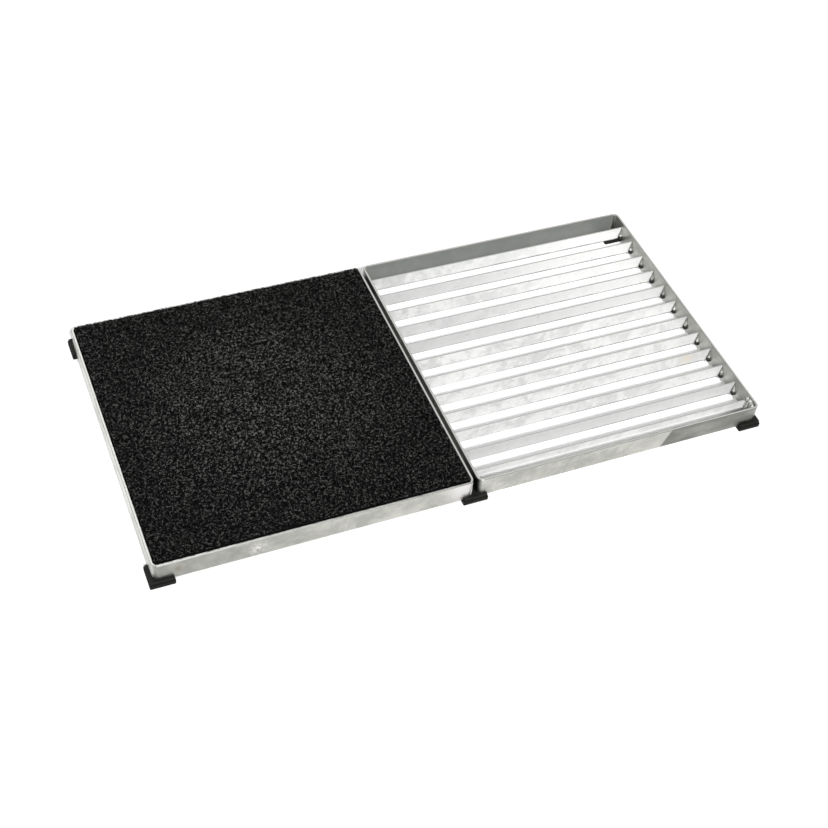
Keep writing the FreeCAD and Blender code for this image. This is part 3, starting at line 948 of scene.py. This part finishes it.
class LayCoilMat(bpy.types.Operator):
    """Lay the coil mat: a matted base and bent loops of filament scattered over it"""

    bl_idname = "mat_grate.lay_coil_mat"
    bl_label = "Lay Coil Mat"

    def execute(self, context):
        settings = context.scene.mat_grate.coil_mat
        low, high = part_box("coil_mat")
        base = self.make_base(settings, low, high)
        settle(base)
        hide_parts("coil_mat")
        tree = coil_tree()
        middle = (low + high) / 2
        reach = TRODDEN_REACH * (high.x - low.x)
        material = plastic_filament(settings, (middle.x, middle.y, high.z), reach)
        margin = Vector((settings.filament_radius,) * 3)
        width = (high.x - low.x) / settings.strips
        depth = high.y - low.y
        scatter = settings.pile / 4
        for strip in range(settings.strips):
            values = {
                "Columns": round(width / settings.spacing), "Lines": round(depth / settings.spacing),
                "Width": width - settings.spacing, "Depth": depth - settings.spacing,
                "Middle": (low.x + (strip + 0.5) * width, middle.y, high.z - scatter),
                "Scatter": (settings.spacing, settings.spacing, scatter),
                "Loop Radius": settings.loop_radius, "Lean": settings.lean, "Kink": settings.kink,
                "Points": settings.points_per_loop, "Pile": settings.pile,
                "Filament Radius": settings.filament_radius, "Tuft Corner": tuple(low),
                "Tuft Pitch": tuple((high - low) / settings.tufts), "Tuft Top": settings.tuft_top,
                "Tuft Relief": settings.tuft_relief, "Last Tuft": settings.tufts - 0.5,
                "Lowest": tuple(low + margin), "Highest": tuple(high - margin),
                "Seed": settings.seed + strip, "Material": material,
            }
            settle(grow("coil_mat_loops_%d" % (strip + 1), tree, values))
        return {"FINISHED"}

    @staticmethod
    def make_base(settings, low, high):
        """A closed slab as wide as the mat, with a lumpy top that rises along the cut edge."""
        inset = settings.filament_radius / 2
        lump = settings.loop_radius / 5
        top = high.z - settings.pile - lump
        corner = Vector((low.x + inset, low.y + inset, low.z))
        across = high.x - low.x - 2 * inset
        ahead = high.y - low.y - 2 * inset
        columns = round(across / settings.loop_radius)
        lines = round(ahead / settings.loop_radius)
        shape = bmesh.new()
        bmesh.ops.create_grid(shape, x_segments=columns, y_segments=lines, size=0.5)
        for vertex in shape.verts:
            vertex.co = corner + Vector(((vertex.co.x + 0.5) * across, (vertex.co.y + 0.5) * ahead, 0.0))
        bmesh.ops.reverse_faces(shape, faces=shape.faces)
        upper = bmesh.ops.extrude_face_region(shape, geom=shape.faces[:], use_keep_orig=True)["geom"]
        for vertex in (item for item in upper if isinstance(item, bmesh.types.BMVert)):
            spot = vertex.co
            from_edge = min(spot.x - low.x, high.x - spot.x, spot.y - low.y, high.y - spot.y)
            rise = settings.edge_rise * max(0.0, 1.0 - from_edge / settings.edge_width)
            spot.z = top + rise + lump * noise.noise(spot / settings.loop_radius)
        bmesh.ops.recalc_face_normals(shape, faces=shape.faces)
        mesh = bpy.data.meshes.new("coil_mat_base")
        shape.to_mesh(mesh)
        shape.free()
        mesh.materials.append(matted_plastic(settings))
        base = bpy.data.objects.new("coil_mat_base", mesh)
        bpy.context.scene.collection.objects.link(base)
        return base


class SetStage(bpy.types.Operator):
    """Lay the pale floor, hang the lights and stand the camera"""

    bl_idname = "mat_grate.set_stage"
    bl_label = "Set Stage"

    def execute(self, context):
        settings = context.scene.mat_grate.stage
        context.scene.view_settings.view_transform = "Standard"
        self.lay_floor(context, settings)
        self.light_sky(context, settings)
        self.hang_lamp(context, "key_light", settings.key_power, settings.key_size, settings.key_place)
        self.hang_lamp(context, "fill_light", settings.fill_power, settings.fill_size, settings.fill_place)
        self.stand_camera(context, settings)
        return {"FINISHED"}

    @staticmethod
    def lay_floor(context, settings):
        """A pale floor that takes the grate's shadow and fades to white away from it."""
        half = settings.floor_size / 2
        mesh = bpy.data.meshes.new("floor")
        corners = [(-half, -half, 0), (half, -half, 0), (half, half, 0), (-half, half, 0)]
        mesh.from_pydata(corners, [], [(0, 1, 2, 3)])
        material, tree, shader, spot = new_material("floor_paper")
        rays = add(tree, "ShaderNodeLightPath").outputs
        seen = maths(tree, "MAXIMUM", rays["Is Camera Ray"], rays["Is Transmission Ray"])
        mirrored = product(tree, rays["Is Glossy Ray"], settings.floor_mirrored)
        away = add(tree, "ShaderNodeVectorMath", {0: spot}, operation="LENGTH").outputs["Value"]
        shown = ramp(tree, away, settings.floor_near, half, settings.floor_white, settings.floor_far_white)
        white = maths(tree, "MULTIPLY_ADD", seen, shown, mirrored)
        fill(
            tree, shader, Base_Color=opaque(settings.floor), Roughness=1.0, Specular_IOR_Level=0.0,
            Emission_Color=WHITE, Emission_Strength=white
        )
        mesh.materials.append(material)
        floor = bpy.data.objects.new("floor", mesh)
        context.scene.collection.objects.link(floor)

    @staticmethod
    def light_sky(context, settings):
        """An even white sky, plain white where it is seen directly or in the metal."""
        world = bpy.data.worlds.new("studio_sky")
        world.use_nodes = True
        tree = world.node_tree
        rays = add(tree, "ShaderNodeLightPath").outputs
        seen = maths(tree, "MAXIMUM", rays["Is Camera Ray"], rays["Is Transmission Ray"])
        seen = maths(tree, "MAXIMUM", seen, rays["Is Glossy Ray"])
        strength = maths(tree, "MULTIPLY_ADD", seen, 1.0 - settings.sky, settings.sky)
        fill(tree, tree.nodes["Background"], Color=WHITE, Strength=strength)
        context.scene.world = world

    @staticmethod
    def hang_lamp(context, name, power, size, spot):
        """An area light that faces the middle of the grate."""
        lamp = bpy.data.lights.new(name, "AREA")
        lamp.energy = power
        lamp.size = size
        light = bpy.data.objects.new(name, lamp)
        light.location = spot
        light.rotation_euler = (-light.location).to_track_quat("-Z", "Y").to_euler()
        context.scene.collection.objects.link(light)

    @staticmethod
    def stand_camera(context, settings):
        """The camera, aimed at a point on the floor and rolled about its own axis."""
        lens = bpy.data.cameras.new("camera")
        lens.lens = settings.lens
        camera = bpy.data.objects.new("camera", lens)
        camera.location = settings.camera_place
        aim = Vector(settings.camera_aim) - camera.location
        roll = Quaternion((0.0, 0.0, 1.0), settings.camera_roll)
        camera.rotation_mode = "QUATERNION"
        camera.rotation_quaternion = aim.to_track_quat("-Z", "Y") @ roll
        context.scene.collection.objects.link(camera)
        context.scene.camera = camera


STEPS = (FinishFrames, FinishSlats, FinishFeet, WeldSlats, WeldFrames, LayCoilMat, SetStage)


class GratePanel(bpy.types.Panel):
    """Steps and settings of the grate in the sidebar"""

    bl_idname = "VIEW3D_PT_mat_grate"
    bl_label = "Mat Grate"
    bl_space_type = "VIEW_3D"
    bl_region_type = "UI"
    bl_category = "Mat Grate"

    def draw(self, context):
        settings = context.scene.mat_grate
        for step in STEPS:
            self.layout.operator(step.bl_idname)
        for group in settings.bl_rna.properties:
            if group.type == "POINTER" and group.identifier != "rna_type":
                box = self.layout.box()
                box.label(text=group.name)
                values = getattr(settings, group.identifier)
                for value in values.bl_rna.properties:
                    if not value.is_readonly and value.identifier != "name":
                        box.prop(values, value.identifier)


CLASSES = (
    FrameSteelSettings, SlatSteelSettings, RubberSettings, WeldSettings, CoilMatSettings, StageSettings,
    GrateSettings, *STEPS, GratePanel,
)


def register():
    """Register the classes and hang the settings on the scene."""
    for item in CLASSES:
        bpy.utils.register_class(item)
    bpy.types.Scene.mat_grate = PointerProperty(type=GrateSettings)


def unregister():
    """Take the settings and the classes away again."""
    del bpy.types.Scene.mat_grate
    for item in reversed(CLASSES):
        bpy.utils.unregister_class(item)


def main():
    """Build the grate's looks step by step."""
    register()
    bpy.ops.mat_grate.finish_frames()
    bpy.ops.mat_grate.finish_slats()
    bpy.ops.mat_grate.finish_feet()
    bpy.ops.mat_grate.weld_slats()
    bpy.ops.mat_grate.weld_frames()
    bpy.ops.mat_grate.lay_coil_mat()
    bpy.ops.mat_grate.set_stage()


if __name__ == "__main__":
    main()
